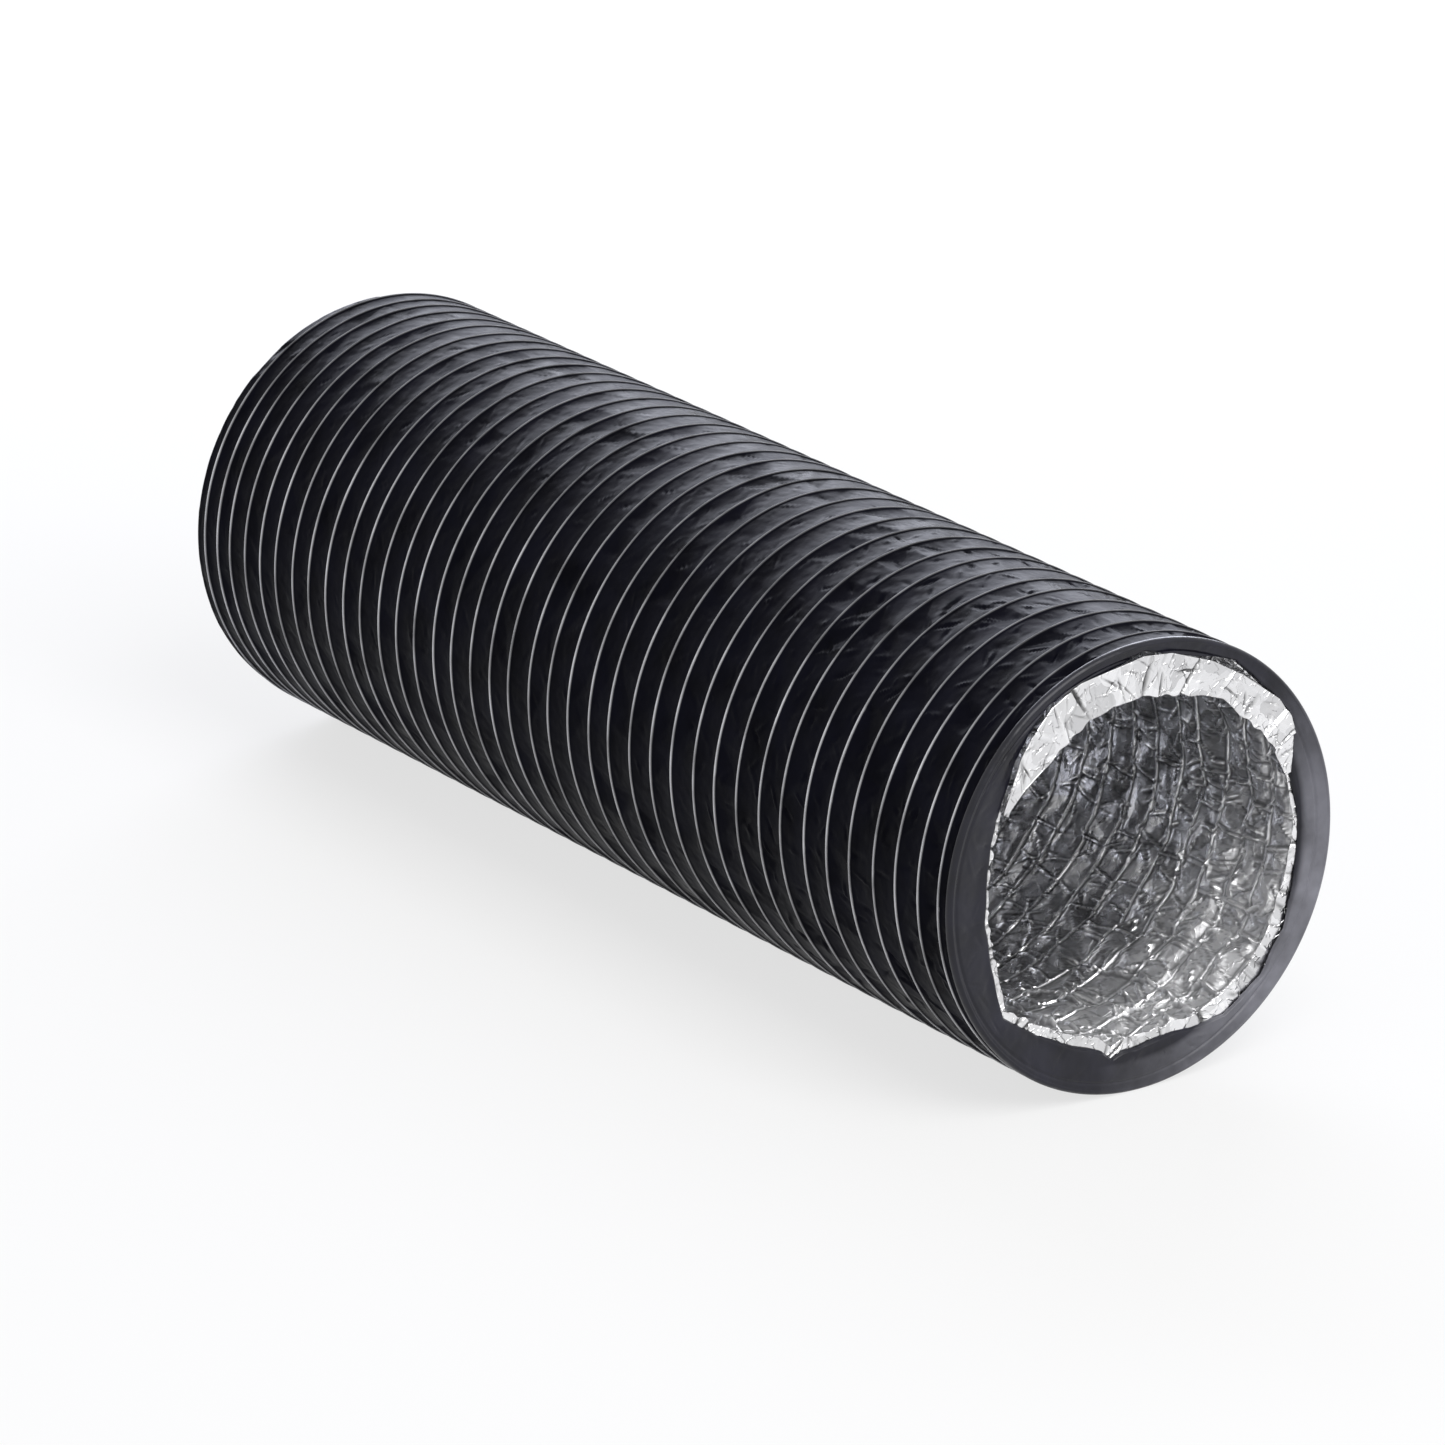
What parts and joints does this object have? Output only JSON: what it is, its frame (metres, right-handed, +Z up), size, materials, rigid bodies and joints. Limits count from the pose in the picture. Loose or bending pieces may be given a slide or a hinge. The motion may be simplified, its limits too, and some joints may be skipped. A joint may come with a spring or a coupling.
{
  "type": "flexible air duct",
  "caption": "Round flexible ventilation duct: black film sleeve over a spring-wire helix and a foil liner, lying on its side, that stretches and bends.",
  "frame": {"origin": "on the resting surface, under the middle of the duct's length", "axes": "+X along the duct towards its open end, +Z up, +Y to the duct's left when looking along +X"},
  "size_m": [0.4704, 0.159, 0.1585],
  "materials": {
    "black_film": "glossy creased PVC film",
    "hem_film": "glossy folded PVC film",
    "liner_foil": "crumpled foil",
    "flap_foil": "bright wrinkled foil",
    "spring_wire": "drawn spring steel"
  },
  "bodies": {
    "section_1": {"outer_film_1": "black_film", "spring_wire_1": "spring_wire", "foil_liner_1": "liner_foil", "rear_film_cuff": "hem_film"},
    "section_2": {"outer_film_2": "black_film", "spring_wire_2": "spring_wire", "foil_liner_2": "liner_foil"},
    "section_3": {"outer_film_3": "black_film", "spring_wire_3": "spring_wire", "foil_liner_3": "liner_foil"},
    "section_4": {"outer_film_4": "black_film", "spring_wire_4": "spring_wire", "foil_liner_4": "liner_foil"},
    "section_5": {"outer_film_5": "black_film", "spring_wire_5": "spring_wire", "foil_liner_5": "liner_foil"},
    "section_6": {"outer_film_6": "black_film", "spring_wire_6": "spring_wire", "foil_liner_6": "liner_foil"},
    "section_7": {"outer_film_7": "black_film", "spring_wire_7": "spring_wire", "foil_liner_7": "liner_foil"},
    "section_8": {"outer_film_8": "black_film", "spring_wire_8": "spring_wire", "foil_liner_8": "liner_foil"},
    "section_9": {"outer_film_9": "black_film", "spring_wire_9": "spring_wire", "foil_liner_9": "liner_foil"},
    "section_10": {"outer_film_10": "black_film", "spring_wire_10": "spring_wire", "foil_liner_10": "liner_foil"},
    "section_11": {"outer_film_11": "black_film", "spring_wire_11": "spring_wire", "foil_liner_11": "liner_foil"},
    "section_12": {"outer_film_12": "black_film", "spring_wire_12": "spring_wire", "foil_liner_12": "liner_foil"},
    "section_13": {"outer_film_13": "black_film", "spring_wire_13": "spring_wire", "foil_liner_13": "liner_foil", "front_film_hem": "hem_film", "front_foil_edge": "liner_foil", "front_foil_flap": "flap_foil"}
  },
  "joints": [
    {"name": "stretch", "type": "slide", "parent": "section_1", "child": "section_2", "axis": [1, 0, 0], "range_m": [-0.02, 0.04], "deforming": ["outer_film_1", "foil_liner_1", "spring_wire_1", "outer_film_2", "foil_liner_2", "spring_wire_2"]},
    {"name": "bend", "type": "hinge", "parent": "section_2", "child": "section_3", "pos_m": [-0.17435, 0, 0.079], "axis": [0, 0, 1], "range_deg": [-12.5, 12.5], "deforming": ["outer_film_2", "foil_liner_2", "spring_wire_2", "outer_film_3", "foil_liner_3", "spring_wire_3"]},
    {"name": "stretch_2", "type": "slide", "parent": "section_3", "child": "section_4", "axis": [1, 0, 0], "range_m": [-0.02372, 0.04744], "deforming": ["outer_film_3", "foil_liner_3", "spring_wire_3", "outer_film_4", "foil_liner_4", "spring_wire_4"]},
    {"name": "bend_2", "type": "hinge", "parent": "section_4", "child": "section_5", "pos_m": [-0.10526, 0, 0.079], "axis": [0, 0, 1], "range_deg": [-12.5, 12.5], "deforming": ["outer_film_4", "foil_liner_4", "spring_wire_4", "outer_film_5", "foil_liner_5", "spring_wire_5"]},
    {"name": "stretch_3", "type": "slide", "parent": "section_5", "child": "section_6", "axis": [1, 0, 0], "range_m": [-0.02542, 0.05084], "deforming": ["outer_film_5", "foil_liner_5", "spring_wire_5", "outer_film_6", "foil_liner_6", "spring_wire_6"]},
    {"name": "bend_3", "type": "hinge", "parent": "section_6", "child": "section_7", "pos_m": [-0.0337, 0, 0.079], "axis": [0, 0, 1], "range_deg": [-12.5, 12.5], "deforming": ["outer_film_6", "foil_liner_6", "spring_wire_6", "outer_film_7", "foil_liner_7", "spring_wire_7"]},
    {"name": "stretch_4", "type": "slide", "parent": "section_7", "child": "section_8", "axis": [1, 0, 0], "range_m": [-0.02594, 0.05188], "deforming": ["outer_film_7", "foil_liner_7", "spring_wire_7", "outer_film_8", "foil_liner_8", "spring_wire_8"]},
    {"name": "bend_4", "type": "hinge", "parent": "section_8", "child": "section_9", "pos_m": [0.04099, 0, 0.079], "axis": [0, 0, 1], "range_deg": [-12.5, 12.5], "deforming": ["outer_film_8", "foil_liner_8", "spring_wire_8", "outer_film_9", "foil_liner_9", "spring_wire_9"]},
    {"name": "stretch_5", "type": "slide", "parent": "section_9", "child": "section_10", "axis": [1, 0, 0], "range_m": [-0.0264, 0.0528], "deforming": ["outer_film_9", "foil_liner_9", "spring_wire_9", "outer_film_10", "foil_liner_10", "spring_wire_10"]},
    {"name": "bend_5", "type": "hinge", "parent": "section_10", "child": "section_11", "pos_m": [0.11881, 0, 0.079], "axis": [0, 0, 1], "range_deg": [-12.5, 12.5], "deforming": ["outer_film_10", "foil_liner_10", "spring_wire_10", "outer_film_11", "foil_liner_11", "spring_wire_11"]},
    {"name": "stretch_6", "type": "slide", "parent": "section_11", "child": "section_12", "axis": [1, 0, 0], "range_m": [-0.02768, 0.05536], "deforming": ["outer_film_11", "foil_liner_11", "spring_wire_11", "outer_film_12", "foil_liner_12", "spring_wire_12"]},
    {"name": "bend_6", "type": "hinge", "parent": "section_12", "child": "section_13", "pos_m": [0.1978, 0, 0.079], "axis": [0, 0, 1], "range_deg": [-12.5, 12.5], "deforming": ["outer_film_12", "foil_liner_12", "spring_wire_12", "outer_film_13", "foil_liner_13", "spring_wire_13"]}
  ],
  "couplings": [
    {"joint": "stretch_2", "follows": "stretch", "ratio": 1.186},
    {"joint": "bend_2", "follows": "bend", "ratio": 1},
    {"joint": "stretch_3", "follows": "stretch", "ratio": 1.271},
    {"joint": "bend_3", "follows": "bend", "ratio": 1},
    {"joint": "stretch_4", "follows": "stretch", "ratio": 1.297},
    {"joint": "bend_4", "follows": "bend", "ratio": 1},
    {"joint": "stretch_5", "follows": "stretch", "ratio": 1.32},
    {"joint": "bend_5", "follows": "bend", "ratio": 1},
    {"joint": "stretch_6", "follows": "stretch", "ratio": 1.384},
    {"joint": "bend_6", "follows": "bend", "ratio": 1}
  ]
}
